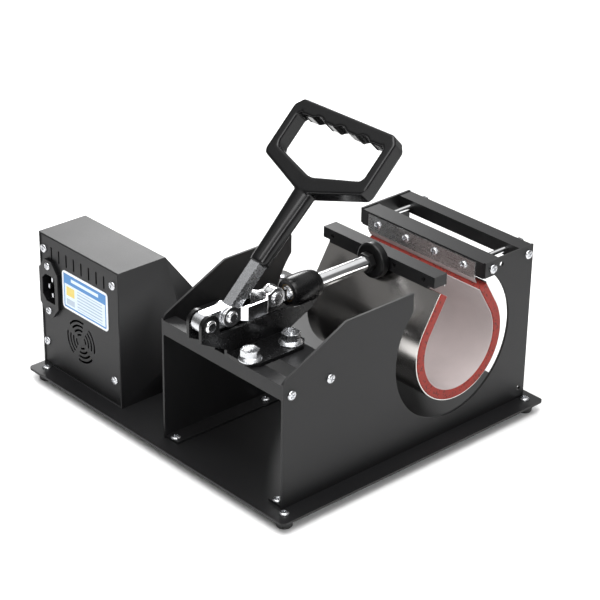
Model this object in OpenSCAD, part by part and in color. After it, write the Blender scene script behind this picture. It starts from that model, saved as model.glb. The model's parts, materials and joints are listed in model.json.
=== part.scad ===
// Mug heat press: a fixed and a moving bar close a flexible heating mat round a mug.
// A push-pull toggle clamp on two cross bars moves the bar, and a box beside it holds the controller.
// Front is -Y, up is +Z. The origin is on the table, under the middle of the whole press.

/* [Base] */
// Width of the base plate along X
base_w = 316; // [300:1:330]
// Depth of the base plate along Y
base_d = 282; // [276:1:290]
// Thickness of the steel sheet of the base and side plates
sheet = 2; // [1.5:0.5:2]
// Height of a rubber foot
foot_h = 8; // [6:1:12]
// Diameter of a rubber foot
foot_d = 15; // [12:1:18]

/* [Side plates] */
// Clear distance between the two side plates
cheek_gap = 134; // [132:1:138]
// Length of a side plate from back to front
cheek_len = 261.5; // [258:0.5:264]
// Height of the back corner above the base plate
cheek_back_h = 107.3; // [104:0.1:112]
// Height of the front above the base plate
cheek_front_h = 135.6; // [135:0.1:138]
// Radius of the round cut-out for the mug
cut_r = 62; // [60:0.5:63]

/* [Heating mat] */
// Outer radius of the round part of the mat
mat_r = 47; // [46:0.5:47]
// Length of the mat along X
mat_len = 124.6; // [110:0.2:124.6]
// Thickness of the steel band round the mat
band_t = 1; // [0.6:0.1:1.2]
// Thickness of the silicone pad
pad_t = 7; // [5:0.5:8]
// Thickness of the inner lining
liner_t = 1.5; // [1:0.1:2]

/* [Toggle clamp] */
// Distance from the fixed pivot to the link pivot on the lever
crank = 21.6; // [20:0.1:23]
// Length of a link between its pivots
link_len = 45.2; // [44:0.1:47]
// Diameter of the plunger
plunger_d = 12; // [10:0.5:12]
// Angle of the lever above the horizontal, leaning forward, in degrees
lever_tilt = 44; // [40:1:48]
// Diameter of the guide barrel
barrel_d = 24; // [22:0.5:26]

/* [Handle] */
// Distance from the link pivot to the lower end of the grip
grip_start = 43.5; // [40:0.5:50]
// Distance from the link pivot to the loop of the grip
loop_start = 106; // [100:1:112]
// Height of the loop
loop_h = 65.5; // [60:0.5:70]
// Outer width of the loop
loop_w = 107.6; // [100:0.2:112]

/* [Control box] */
// Width of the control box
case_w = 104; // [100:1:108]
// Height of the control box
case_h = 119.5; // [115:0.5:125]
// Depth of the box at its foot
case_d = 118.3; // [112:0.1:125]
// Depth of the flat top
case_top_d = 46.5; // [44:0.5:50]
// Height of the upright part below the sloping front
case_lip_h = 28; // [26:1:32]
// Number of upright vent slots in the rear panel
vents = 8; // [4:1:8]

/* [Hidden] */
$fn = 48;
eps = 0.01;
run_gap = 0.05;   // radial clearance of a running fit
glue = 0.05;      // between two layers of the mat

// Colours
black_sheet = "#2b2b2c";
black_gloss = "#151516";
rubber = "#1c1c1c";
zinc = "#c9ccd0";
chrome = "#dcdee1";
steel = "#cfcac4";
silicone_red = "#b5392e";
lining = "#b9b1ac";

// Main places along Y and Z
pivot_r = 8.5;                                    // round of the bracket's rear ears
ear_reach = 12;                                   // how far the ears stand behind the base
base_y = -ear_reach / 2;                          // middle of the base plate
top_z = foot_h + sheet;                           // top of the base plate
back_y = base_y + base_d / 2 - 13;                // back edge of the side plates
front_y = back_y - cheek_len;
press_x = -73;                                    // middle of the press
left_x = press_x - cheek_gap / 2;                 // inner face of the left side plate
right_x = press_x + cheek_gap / 2;
foot_in = 11;                                     // foot centre from the edges of the base

// Side plate stations
kink_y = back_y - 61.4;
tip_y = back_y - 129.8;
arm_y = back_y - 207.2;
arm_z = top_z + 122.3;
kink_z = top_z + 135;
cut_y = back_y - 175.5;
cut_z = top_z + 77.7;
gap_z = top_z + 112;
flange_w = 14;
flange_ys = [back_y - 4.4, back_y - 96.5, front_y + 10];

// Cross bars
deck_z = top_z + 103;                             // top of both cross bars
rear_bar_d = 11.8;
front_bar_back = back_y - 26;
front_bar_d = 30;
bar_skirt = 12;
bar_screw_z = deck_z - 9.5;

// Mat and bars
mat_x = press_x - 4.3;                            // the mat reaches out to the left side plate
mat_y = back_y - 185.4;
mat_z = top_z + 72.2;
rear_tangent = 31.2;                              // where the round part turns into the rear leg
front_tangent = 148.9;                            // and into the front leg
rear_leg = 31.4;
front_leg = 24.2;
strip_half = 59;
fixed_bar_back = arm_y + 0.2;
fixed_bar_d = 17.3;
fixed_bar_z = [top_z + 121.5, top_z + 134.7];
tie_bar_d = 13.2;
tie_bar_z = [top_z + 123.6, top_z + 134.9];
rod_x = 52.6;
rod_z = top_z + 130;
rod_r = 2.2;
arm_screw_z = top_z + 128.4;

// Toggle clamp
axis_z = top_z + 130.3;                           // axis of the plunger
pivot_z = top_z + 133;                            // line of the three pivots when locked
pivot_a = base_y + base_d / 2 + ear_reach - pivot_r;
pivot_b = pivot_a - crank;
pivot_c = pivot_b - link_len;
barrel_back = pivot_c - 14.6;
barrel_front = barrel_back - 29.1;
plunger_r = plunger_d / 2;
nut_back = barrel_front - 50.3;
nut_h = 6;
disc_h = 7.8;
disc_r = 14.6;
disc_back = nut_back - nut_h;
boss_back = disc_back - disc_h;
boss_h = 0.9;
bar_back = boss_back - boss_h;                    // rear face of the moving bar
bar_depth = 13.4;
bar_half = 61.6;
bar_z = [top_z + 124.2, top_z + 135.7];
bar_notch = [7, 2.4];                             // step under each end of the moving bar
stud_r = 4;
wall_in = 5.5;                                    // inner face of a bracket wall from the middle
wall_out = 8.5;
foot_out = 36;
foot_t = 3;
wall_top = top_z + 123.5;
bolt_x = 26;
bolt_ys = [back_y - 6.2, back_y - 45.7];
washer_t = 1.2;
seat_z = deck_z + foot_t + washer_t;              // where the bolt heads and nuts sit
lever_half = 4.5;
lever_wall = 1.7;
lever_depth = 9.8;
lever_r = 7.5;
loop_side = 7.8;                                  // width of the loop's side arms
loop_bar = 9;                                     // and of its bar
bump_pitch = 24;
pin_a = 3;
pin_b = 2.5;
link_r = 8;
link_t = 2.2;
link_b = 4.8;                                     // inner faces of a link from the middle
link_mid = 8.9;
link_c = 2.9;
tongue_half = 2.6;

// Control box
case_x = 52;
case_back = back_y - 2.4;
case_front = case_back - case_d;
case_z = top_z + case_h;
case_wall = 1.5;
panel_t = 1.5;
panel_in = 0.6;                                   // how deep the rear panel sits in the case
case_mid = case_x + case_w / 2;
slope_top = case_back - case_top_d;
slope_run = slope_top - case_front;
slope_rise = case_h - case_lip_h;
slope_len = sqrt(slope_run * slope_run + slope_rise * slope_rise);
slope_angle = atan2(slope_rise, slope_run);
panel_screws = [[case_x + 8.5, top_z + 22], [case_x + 8.5, top_z + 106],
                [case_x + case_w - 5.3, top_z + 22], [case_x + case_w - 5.3, top_z + 106]];
inlet_x = case_x + 90.5;
inlet_z = top_z + 73.7;
inlet_pin_places = [[-1, -7], [-1, 7], [3.6, 0]];
grille_x = case_x + 52.7;
grille_z = top_z + 39;
vent_pitch = 9.85;
vent_x = case_x + 54.2;
vent_z = [top_z + 98.9, top_z + 110];
plate_x = case_x + 44.9;
plate_z = top_z + 79.3;
key_s = 62;                                       // keys, measured down the slope from its top
key_r = 4.2;
key_xs = [-30, -10, 10, 30];
window_s = 30;
window_w = 56;
window_h = 30;
switch_z = top_z + 14;

// ---------- helpers ----------

// Draws a (y, z) outline and gives it a width along X
module along_x(x0, x1) {
    translate([x0, 0, 0]) rotate([90, 0, 90]) linear_extrude(x1 - x0) children();
}

// Draws an (x, y) outline and gives it a height along Z
module along_z(z0, z1) {
    translate([0, 0, z0]) linear_extrude(z1 - z0) children();
}

module block(x, y, z) {
    translate([min(x), min(y), min(z)])
        cube([abs(x[1] - x[0]), abs(y[1] - y[0]), abs(z[1] - z[0])]);
}

module rod_x(r, x0, x1) {
    translate([x0, 0, 0]) rotate([0, 90, 0]) cylinder(h = x1 - x0, r = r);
}

module rod_y(r, y0, y1) {
    translate([0, y0, 0]) rotate([-90, 0, 0]) cylinder(h = y1 - y0, r = r);
}

// Pan head screw with a cross recess, its head on +Z and its shank on -Z
module pan_screw(r, head_r, head_h, len) {
    difference() {
        union() {
            translate([0, 0, -len]) cylinder(h = len + head_h * 0.2, r = r, $fn = 24);
            cylinder(h = head_h * 0.45, r = head_r);
            translate([0, 0, head_h * 0.45])
                cylinder(h = head_h * 0.55, r1 = head_r, r2 = head_r * 0.62);
        }
        for (a = [0, 90])
            rotate([0, 0, a])
                translate([-head_r * 0.5, -head_r * 0.11, head_h * 0.5])
                    cube([head_r, head_r * 0.22, head_h]);
    }
}

// Two-headed round rivet along X
module rivet(r, head_r, head_t, x0, x1) {
    rod_x(r, x0, x1);
    for (side = [0, 1])
        translate([side ? x1 : x0, 0, 0]) rotate([0, side ? 90 : -90, 0]) {
            cylinder(h = head_t * 0.5, r = head_r);
            translate([0, 0, head_t * 0.5])
                cylinder(h = head_t * 0.5, r1 = head_r, r2 = head_r * 0.7);
        }
}

// ---------- base ----------

module base_plate() {
    r = 4;
    color(black_sheet) difference() {
        union() {
            block([-base_w / 2 + r, base_w / 2 - r],
                  [base_y - base_d / 2, base_y + base_d / 2], [foot_h, top_z]);
            block([-base_w / 2, base_w / 2],
                  [base_y - base_d / 2 + r, base_y + base_d / 2 - r], [foot_h, top_z]);
            for (sx = [-1, 1], sy = [-1, 1])
                translate([sx * (base_w / 2 - r), base_y + sy * (base_d / 2 - r), foot_h])
                    cylinder(h = sheet, r = r);
        }
        for (sx = [-1, 1], sy = [-1, 1])
            translate([foot_x(sx), foot_y(sy), foot_h - 1]) cylinder(h = sheet + 2, r = 2.1);
        for (x = flange_xs(), y = flange_ys)
            translate([x, y, foot_h - 1]) cylinder(h = sheet + 2, r = 2.1);
    }
}

function foot_x(s) = s * (base_w / 2 - foot_in);
function foot_y(s) = base_y + s * (base_d / 2 - foot_in);
function flange_xs() = [left_x + 7.5, right_x - 7.5];

module rubber_feet() {
    color(rubber) for (sx = [-1, 1], sy = [-1, 1])
        translate([foot_x(sx), foot_y(sy), 0]) difference() {
            cylinder(h = foot_h, r1 = foot_d / 2 - 1.2, r2 = foot_d / 2);
            translate([0, 0, 3]) cylinder(h = foot_h, r = 2.1);
            translate([0, 0, -1]) cylinder(h = 4.2, r = 3.9);
        }
}

// Screws of the rubber feet and of the side plates' bottom flanges
module base_screws() {
    color(zinc) {
        for (sx = [-1, 1], sy = [-1, 1])
            translate([foot_x(sx), foot_y(sy), top_z]) pan_screw(2, 3.8, 1.9, 6.5);
        for (x = flange_xs(), y = flange_ys)
            translate([x, y, top_z + sheet]) pan_screw(2, 3.8, 1.9, sheet * 2 + 2);
    }
}

// ---------- side plates ----------

module cheek_outline() {
    difference() {
        union() {
            difference() {
                polygon([[back_y, top_z], [back_y, top_z + cheek_back_h - 3],
                         [back_y - 2.4, top_z + cheek_back_h],
                         [kink_y, kink_z], [front_y, top_z + cheek_front_h],
                         [front_y, top_z]]);
                translate([cut_y, cut_z]) circle(r = cut_r, $fn = 96);
                translate([arm_y, gap_z]) square([tip_y - arm_y, 60]);
            }
            translate([arm_y - 14, arm_z]) square([14, top_z + cheek_front_h - arm_z - 0.2]);
        }
        for (p = cheek_holes()) translate(p) circle(r = 2.1, $fn = 24);
    }
}

function cheek_holes() = [
    [back_y - 8, bar_screw_z], [back_y - 46, bar_screw_z],
    [fixed_bar_back - fixed_bar_d / 2, arm_screw_z], [front_y + 5.6, arm_screw_z],
    [arm_y - 18.3, arm_screw_z + 1], [front_y + 6.6, top_z + 9.4]];

module cheek(inner, side) {
    outer = inner + side * sheet;
    along_x(min(inner, outer), max(inner, outer)) cheek_outline();
    difference() {
        block([inner, inner - side * flange_w], [front_y + 1, back_y - 1], [top_z, top_z + sheet]);
        for (y = flange_ys)
            translate([inner - side * 7.5, y, top_z - 1]) cylinder(h = sheet + 2, r = 2.1);
    }
}

module side_plate_left() {
    color(black_sheet) cheek(left_x, -1);
}

module side_plate_right() {
    color(black_sheet) cheek(right_x, 1);
}

// ---------- cross bars ----------

// Channel of bent sheet between the side plates, open below, with a foot at each end
// Folded sheet with a skirt at its back and ends, and one at its front where wanted
module cross_bar(y_back, depth, front_skirt) {
    difference() {
        block([left_x, right_x], [y_back - depth, y_back], [deck_z - bar_skirt, deck_z]);
        block([left_x + sheet, right_x - sheet],
              [y_back - depth + (front_skirt ? sheet : -1), y_back - sheet],
              [deck_z - bar_skirt - 1, deck_z - sheet]);
    }
}

module bolt_holes(y) {
    for (s = [-1, 1])
        translate([press_x + s * bolt_x, y, deck_z - sheet - 1]) cylinder(h = sheet + 2, r = 4.2);
}

module rear_cross_bar() {
    color(black_sheet) difference() {
        cross_bar(back_y, rear_bar_d, false);
        bolt_holes(bolt_ys[0]);
        translate([0, back_y - 8, bar_screw_z]) rod_x(2, left_x - 1, right_x + 1);
    }
}

module front_cross_bar() {
    color(black_sheet) difference() {
        cross_bar(front_bar_back, front_bar_d, true);
        bolt_holes(bolt_ys[1]);
        translate([0, back_y - 46, bar_screw_z]) rod_x(2, left_x - 1, right_x + 1);
    }
}

// Screws through the side plates into the cross bars and the two bars in front
module side_screws() {
    stations = [[back_y - 8, bar_screw_z, 6], [back_y - 46, bar_screw_z, 6],
                [fixed_bar_back - fixed_bar_d / 2, arm_screw_z, 10],
                [front_y + 5.6, arm_screw_z, 10]];
    color(zinc) for (p = stations, side = [-1, 1])
        translate([side < 0 ? left_x - sheet : right_x + sheet, p[0], p[1]])
            rotate([0, side * 90, 0]) pan_screw(1.95, 3.9, 2.1, p[2]);
}

// ---------- bars that hold the mat ----------

module front_tie_bar() {
    color(black_sheet) difference() {
        block([left_x, right_x], [front_y, front_y + tie_bar_d], tie_bar_z);
        for (s = [-1, 1])
            translate([press_x + s * rod_x, 0, rod_z]) rod_y(rod_r, front_y - 1, front_y + 20);
        translate([0, front_y + 5.6, arm_screw_z]) {
            rod_x(1.95, left_x - 1, left_x + 11);
            rod_x(1.95, right_x - 11, right_x + 1);
        }
    }
}

module fixed_bar() {
    color(black_sheet) difference() {
        block([left_x, right_x], [fixed_bar_back - fixed_bar_d, fixed_bar_back], fixed_bar_z);
        for (s = [-1, 1])
            translate([press_x + s * rod_x, 0, rod_z])
                rod_y(rod_r, fixed_bar_back - fixed_bar_d - 1, fixed_bar_back - 6);
        translate([0, fixed_bar_back - fixed_bar_d / 2, arm_screw_z]) {
            rod_x(1.95, left_x - 1, left_x + 11);
            rod_x(1.95, right_x - 11, right_x + 1);
        }
        for (x = strip_screw_xs())
            translate([x, 0, strip_screw_z()]) rod_y(1.5, fixed_bar_back - 7, fixed_bar_back + 1);
    }
}

module tie_rods() {
    color(chrome) for (s = [-1, 1])
        translate([press_x + s * rod_x, 0, rod_z])
            rod_y(rod_r, front_y - 4, fixed_bar_back - 6);
}

module rod_nuts() {
    color(zinc) for (s = [-1, 1])
        translate([press_x + s * rod_x, 0, rod_z]) difference() {
            rotate([90, 0, 0]) translate([0, 0, -front_y]) cylinder(h = 3.6, r = 4.6, $fn = 6);
            rod_y(rod_r, front_y - 8, front_y + 4);
        }
}

function strip_screw_xs() = [for (i = [0:3]) press_x + (i - 1.5) * 31.6];
function strip_screw_z() = fixed_bar_z[0] + 5.8;

module mat_clamp_strip() {
    color(steel) difference() {
        block([press_x - strip_half, press_x + strip_half],
              [fixed_bar_back, fixed_bar_back + 1.2], [fixed_bar_z[0] - 2, fixed_bar_z[1] - 1.4]);
        for (x = strip_screw_xs())
            translate([x, 0, strip_screw_z()]) rod_y(1.6, fixed_bar_back - 1, fixed_bar_back + 3);
    }
}

module strip_screws() {
    color(zinc) for (x = strip_screw_xs())
        translate([x, fixed_bar_back + 1.2, strip_screw_z()]) rotate([-90, 0, 0])
            pan_screw(1.45, 3.3, 2.2, 7);
}

// ---------- heating mat ----------

// Point at a radius on the line of a leg: t is where the round part ends, along is how far up the leg
function leg_point(t, r, along) = [r * cos(t) - along * sin(t), r * sin(t) + along * cos(t)];

// Teardrop of one radius: a disc, and a wedge to the ends of both legs, stretched along them
module teardrop(r, r_end, stretch) {
    rear_start = leg_point(rear_tangent - 6, r - 0.3, 0);
    rear_tip = leg_point(rear_tangent, r, rear_leg);
    front_start = leg_point(front_tangent + 6, r - 0.3, 0);
    front_tip = leg_point(front_tangent, r, -front_leg);
    translate([mat_y, mat_z]) {
        circle(r = r, $fn = 120);
        polygon([[0, 0], rear_start, rear_start + (rear_tip - rear_start) * stretch,
                 leg_point(rear_tangent, r_end, rear_leg * stretch),
                 leg_point(front_tangent, r_end, -front_leg * stretch),
                 front_start + (front_tip - front_start) * stretch, front_start]);
    }
}

// Layer of the mat between two radii
module mat_shell(r_in, r_out) {
    along_x(mat_x - mat_len / 2, mat_x + mat_len / 2) difference() {
        teardrop(r_out, r_in - 1, 1);
        teardrop(r_in, r_in - 2, 2);
    }
}

module mat_steel_band() {
    color(steel) mat_shell(mat_r - band_t, mat_r);
}

module mat_silicone_pad() {
    color(silicone_red) mat_shell(mat_r - band_t - pad_t, mat_r - band_t - glue);
}

module mat_liner() {
    inner = mat_r - band_t - pad_t;
    color(lining) mat_shell(inner - liner_t, inner - glue);
}

// Small cover under the mat where its heater lead joins, with a short threaded outlet
module heater_terminal() {
    w = 26;
    x = right_x - 42;
    color(black_gloss) difference() {
        union() {
            along_x(x - w / 2, x + w / 2) difference() {
                translate([mat_y - 12, mat_z - mat_r - 7]) square([24, 14]);
                translate([mat_y, mat_z]) circle(r = mat_r, $fn = 120);
            }
            translate([0, mat_y, mat_z - mat_r - 3.4]) rod_x(3.2, x + w / 2 - eps, x + w / 2 + 8);
        }
        translate([0, mat_y, mat_z - mat_r - 3.4]) rod_x(1.8, x + w / 2 - 4, x + w / 2 + 9);
    }
}

// ---------- moving bar and plunger ----------

function bar_screw_xs() = [press_x - 50, press_x - 18, press_x + 51];

module moving_bar() {
    color(black_sheet) difference() {
        block([press_x - bar_half, press_x + bar_half], [bar_back - bar_depth, bar_back], bar_z);
        for (s = [-1, 1])
            block([press_x + s * (bar_half - bar_notch[0]), press_x + s * (bar_half + 1)],
                  [bar_back - bar_depth - 1, bar_back + 1], [bar_z[0] - 1, bar_z[0] + bar_notch[1]]);
        for (x = bar_screw_xs())
            translate([x, 0, axis_z]) rod_y(2, bar_back - 5, bar_back + 1);
        translate([press_x, 0, axis_z]) rod_y(stud_r, bar_back - 8, bar_back + 1);
        for (x = strip_screw_xs())
            translate([x, 0, axis_z])
                rod_y(1.45, bar_back - bar_depth - 1, bar_back - bar_depth + 4.8);
    }
}

module bar_screws() {
    color(black_gloss) for (x = bar_screw_xs())
        translate([x, 0, axis_z]) difference() {
            rod_y(2, bar_back - 5, bar_back - 0.8);
            translate([0, bar_back - 2.5, 0]) rotate([-90, 0, 0]) cylinder(h = 3, r = 1, $fn = 6);
        }
}

// Thin strip on the front of the moving bar that holds the free end of the mat
module bar_strip() {
    front = bar_back - bar_depth;
    color(steel) difference() {
        block([press_x - strip_half, press_x + strip_half], [front - 1.2, front],
              [bar_z[0] - 0.6, bar_z[1] - 2]);
        for (x = strip_screw_xs())
            translate([x, 0, axis_z]) rod_y(1.6, front - 3, front + 1);
    }
}

module bar_strip_screws() {
    front = bar_back - bar_depth;
    color(zinc) for (x = strip_screw_xs())
        translate([x, front - 1.2, axis_z]) rotate([90, 0, 0]) pan_screw(1.45, 2.9, 1.6, 6);
}

module bar_boss() {
    color(black_gloss) translate([press_x, 0, axis_z]) difference() {
        rod_y(7.5, bar_back, boss_back - 0.3);
        rod_y(stud_r, bar_back - 1, boss_back + 1);
    }
}

// Round hand disc that turns on the stud between the boss and the lock nut
module pressure_disc() {
    color(black_gloss) translate([press_x, 0, axis_z]) difference() {
        union() {
            translate([0, boss_back, 0]) rotate([-90, 0, 0])
                cylinder(h = 1.8, r1 = disc_r - 2.7, r2 = disc_r);
            rod_y(disc_r, boss_back + 1.8 - eps, disc_back - 1);
            rod_y(disc_r - 1, boss_back + 2, disc_back);
        }
        rod_y(stud_r + run_gap, boss_back - 1, disc_back + 1);
    }
}

module lock_nut() {
    color(zinc) translate([press_x, 0, axis_z]) difference() {
        translate([0, nut_back, 0]) rotate([90, 0, 0]) cylinder(h = nut_h - 0.3, r = 8.1, $fn = 6);
        rod_y(stud_r, disc_back - 1, nut_back + 1);
    }
}

module plunger_rod() {
    color(chrome) {
        translate([press_x, 0, axis_z]) {
            rod_y(plunger_r, nut_back, barrel_back - 0.5);
            rod_y(plunger_r - 1.4, barrel_back - 1, barrel_back + 0.8);
            rod_y(stud_r, bar_back - 8, nut_back + eps);
        }
        along_x(press_x - tongue_half, press_x + tongue_half) {
            translate([pivot_c, pivot_z]) circle(r = 7.4);
            polygon([[pivot_c, pivot_z - 6.5], [pivot_c, pivot_z + 6.5],
                     [barrel_back + 0.3, pivot_z + 1.6], [barrel_back + 0.3, axis_z - 4.5]]);
        }
    }
}

// ---------- toggle clamp ----------

module bracket_outline() {
    difference() {
        union() {
            translate([pivot_a, pivot_z]) circle(r = pivot_r);
            polygon([[pivot_a + pivot_r, pivot_z], [pivot_a - pivot_r, pivot_z],
                     [pivot_a - pivot_r, wall_top], [barrel_front + 5, wall_top],
                     [barrel_front + 9, axis_z - 13], [barrel_back + 2, deck_z + foot_t + 1],
                     [barrel_back + 9, deck_z], [back_y + 1, deck_z], [back_y + 1, deck_z + 5.6],
                     [pivot_a + pivot_r, top_z + 121.5]]);
        }
        translate([pivot_a, pivot_z]) circle(r = pin_a);
    }
}

module clamp_bracket(side) {
    inner = press_x + side * wall_in;
    outer = press_x + side * wall_out;
    difference() {
        union() {
            along_x(min(inner, outer), max(inner, outer)) bracket_outline();
            along_z(deck_z, deck_z + foot_t)
                polygon([[inner, back_y + 1], [press_x + side * (foot_out - 8), back_y + 1],
                         [press_x + side * foot_out, back_y - 7],
                         [press_x + side * foot_out, bolt_ys[1] - 4],
                         [press_x + side * (foot_out - 8), bolt_ys[1] - 12],
                         [inner, barrel_back + 9]]);
        }
        translate([press_x, 0, axis_z]) rod_y(barrel_d / 2, barrel_front - 1, barrel_back + 0.3);
        for (y = bolt_ys)
            translate([press_x + side * bolt_x, y, deck_z - 1]) cylinder(h = foot_t + 2, r = 4.2);
    }
}

module clamp_bracket_left() {
    color(black_gloss) clamp_bracket(-1);
}

module clamp_bracket_right() {
    color(black_gloss) clamp_bracket(1);
}

module guide_barrel() {
    r = barrel_d / 2;
    color(black_gloss) translate([press_x, 0, axis_z]) difference() {
        union() {
            rod_y(r, barrel_front + 4, barrel_back - 5);
            translate([0, barrel_front + 4, 0]) rotate([90, 0, 0]) cylinder(h = 4, r1 = r, r2 = r - 2.4);
            rod_y(r - 1.6, barrel_back - 5 - eps, barrel_back);
        }
        rod_y(plunger_r + 1, barrel_front - 1, barrel_back + 1);
    }
}

module guide_bush() {
    color("#b98b4a") translate([press_x, 0, axis_z]) difference() {
        rod_y(plunger_r + 1, barrel_front + 0.5, barrel_back - 0.5);
        rod_y(plunger_r + run_gap, barrel_front, barrel_back);
    }
}

module base_rivet() {
    color(chrome) translate([0, pivot_a, pivot_z])
        rivet(pin_a, 5, 2, press_x - wall_out, press_x + wall_out);
}

// Outline of the lever: crank between the two pivots, and the shaft that leans forward
module lever_outline(inset, open) {
    r = lever_r - inset;
    h = lever_depth / 2 - inset;
    translate([pivot_a, pivot_z]) circle(r = r);
    translate([pivot_b, pivot_z]) circle(r = r);
    translate([pivot_b, pivot_z - r]) square([crank, 2 * r]);
    translate([pivot_b, pivot_z - r - open]) square([crank - 2, 2 * r]);
    translate([pivot_b, pivot_z]) rotate(180 - lever_tilt)
        translate([-1, -h]) square([grip_start + 37, 2 * h + open]);
}

module handle_lever() {
    color(zinc) difference() {
        along_x(press_x - lever_half, press_x + lever_half) lever_outline(0, 0);
        along_x(press_x - lever_half + lever_wall, press_x + lever_half - lever_wall)
            lever_outline(lever_wall, 12);
        translate([0, pivot_a, pivot_z]) rod_x(pin_a + run_gap, press_x - 10, press_x + 10);
        translate([0, pivot_b, pivot_z]) rod_x(pin_b + run_gap, press_x - 10, press_x + 10);
        on_lever() translate([0, grip_start + 24, 0]) rod_x(2, -10, 10);
    }
}

// Local frame of the lever's shaft: +Y runs up the shaft and -Z faces back
module on_lever() {
    translate([press_x, pivot_b, pivot_z]) rotate([180 - lever_tilt, 0, 0]) children();
}

// Outside of the loop, a wide shield shape with cut corners
module loop_outside() {
    w = loop_w / 2;
    top = loop_start + loop_h;
    polygon([[-8, loop_start], [8, loop_start], [w - 2, loop_start + 15], [w, loop_start + 19],
             [w, top - 7], [w - 6, top], [6 - w, top], [-w, top - 7],
             [-w, loop_start + 19], [2 - w, loop_start + 15]]);
}

// Opening of the loop, with four finger bumps along its upper edge
module loop_inside() {
    w = loop_w / 2 - loop_side;
    top = loop_start + loop_h - loop_bar;
    difference() {
        polygon([[-3, loop_start + 12.3], [3, loop_start + 12.3], [w - 1.5, loop_start + 24],
                 [w, loop_start + 28], [w, top - 5], [w - 5, top], [5 - w, top], [-w, top - 5],
                 [-w, loop_start + 28], [1.5 - w, loop_start + 24]]);
        for (i = [-1.5:1:1.5])
            translate([i * bump_pitch, top + 1]) circle(r = 6.6);
    }
}

module handle_grip() {
    depth = 13.4;
    color(black_gloss) on_lever() difference() {
        translate([0, 0, -depth / 2]) linear_extrude(depth) {
            difference() {
                loop_outside();
                loop_inside();
            }
            polygon([[-7.4, grip_start], [7.4, grip_start], [9.4, loop_start + 2],
                     [-9.4, loop_start + 2]]);
        }
        translate([-lever_half - 0.1, grip_start - 1, -lever_depth / 2 - 0.1])
            cube([2 * lever_half + 0.2, 39, lever_depth + 0.2]);
        translate([0, grip_start + 24, 0]) rod_x(2, -10, 10);
    }
}

module grip_pin() {
    color(zinc) on_lever() translate([0, grip_start + 24, 0]) rod_x(1.95, -7, 7);
}

// Link plate: its plan has three steps, and its side view is a strap with round ends
module link_plan(side) {
    b = pivot_b;
    c = pivot_c;
    t = link_t;
    steps = [[b + 9, link_b], [b - 8.4, link_b], [b - 12.4, link_mid],
             [c + 14, link_mid], [c + 8.8, link_c], [c - 9, link_c]];
    path_in = [for (p = steps) [press_x + side * p[1], p[0]]];
    path_out = [for (i = [len(steps) - 1:-1:0])
        [press_x + side * (steps[i][1] + t), steps[i][0]]];
    polygon(concat(path_in, path_out));
}

module link_side() {
    difference() {
        union() {
            translate([pivot_b, pivot_z]) circle(r = link_r);
            translate([pivot_c, pivot_z]) circle(r = link_r);
            translate([pivot_c, pivot_z - 6]) square([link_len, 11.5]);
        }
        translate([pivot_b, pivot_z]) circle(r = pin_b);
        translate([pivot_c, pivot_z]) circle(r = pin_b);
    }
}

module link(side) {
    intersection() {
        along_z(pivot_z - 12, pivot_z + 12) link_plan(side);
        along_x(press_x - 14, press_x + 14) link_side();
    }
}

module link_left() {
    color(chrome) link(-1);
}

module link_right() {
    color(chrome) link(1);
}

module lever_rivet() {
    h = link_b + link_t;
    color(chrome) translate([0, pivot_b, pivot_z]) rivet(pin_b, 4.7, 2, press_x - h, press_x + h);
}

// Short rivets that hold only the link plates, clear of the tongue between them
module plunger_rivets() {
    head = 5;
    color(chrome) for (s = [-1, 1])
        translate([press_x + s * link_c, pivot_c, pivot_z]) rotate([0, s * 90, 0]) {
            cylinder(h = link_t, r = pin_b);
            translate([0, 0, link_t]) cylinder(h = 1, r = head);
            translate([0, 0, link_t + 1]) cylinder(h = 1, r1 = head, r2 = head * 0.7);
        }
}

// ---------- clamp fasteners ----------

module clamp_bolts() {
    color(zinc) for (s = [-1, 1]) {
        translate([press_x + s * bolt_x, bolt_ys[0], 0]) {
            translate([0, 0, deck_z - 9]) cylinder(h = 9 + foot_t + 2, r = 4);
            translate([0, 0, seat_z]) cylinder(h = 1.6, r1 = 8.8, r2 = 7.4);
            translate([0, 0, seat_z + 1.6 - eps]) cylinder(h = 5.4, r = 7.4, $fn = 6);
        }
        translate([press_x + s * bolt_x, bolt_ys[1], deck_z - 9])
            cylinder(h = 9 + foot_t + washer_t + 9, r = 4);
    }
}

module clamp_nuts() {
    color(zinc) for (s = [-1, 1]) {
        translate([press_x + s * bolt_x, bolt_ys[1], seat_z]) difference() {
            union() {
                cylinder(h = 1.6, r1 = 8.8, r2 = 7.4);
                translate([0, 0, 1.6 - eps]) cylinder(h = 6, r = 7.4, $fn = 6);
            }
            translate([0, 0, -1]) cylinder(h = 10, r = 4);
        }
        translate([press_x + s * bolt_x, bolt_ys[1], deck_z - sheet - 6]) difference() {
            cylinder(h = 6, r = 7.4, $fn = 6);
            translate([0, 0, -1]) cylinder(h = 8, r = 4);
        }
    }
}

module clamp_washers() {
    color(zinc) for (s = [-1, 1], y = bolt_ys)
        translate([press_x + s * bolt_x, y, deck_z + foot_t]) difference() {
            cylinder(h = washer_t, r = y == bolt_ys[0] ? 8.9 : 9.4);
            translate([0, 0, -1]) cylinder(h = 4, r = 4.2);
        }
}

// ---------- control box ----------

module case_outline(inset) {
    i = inset;
    polygon([[case_back - i, top_z + i], [case_back - i, case_z - i],
             [slope_top + i * 0.4, case_z - i], [case_front + i, top_z + case_lip_h - i * 0.4],
             [case_front + i, top_z + i]]);
}

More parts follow.
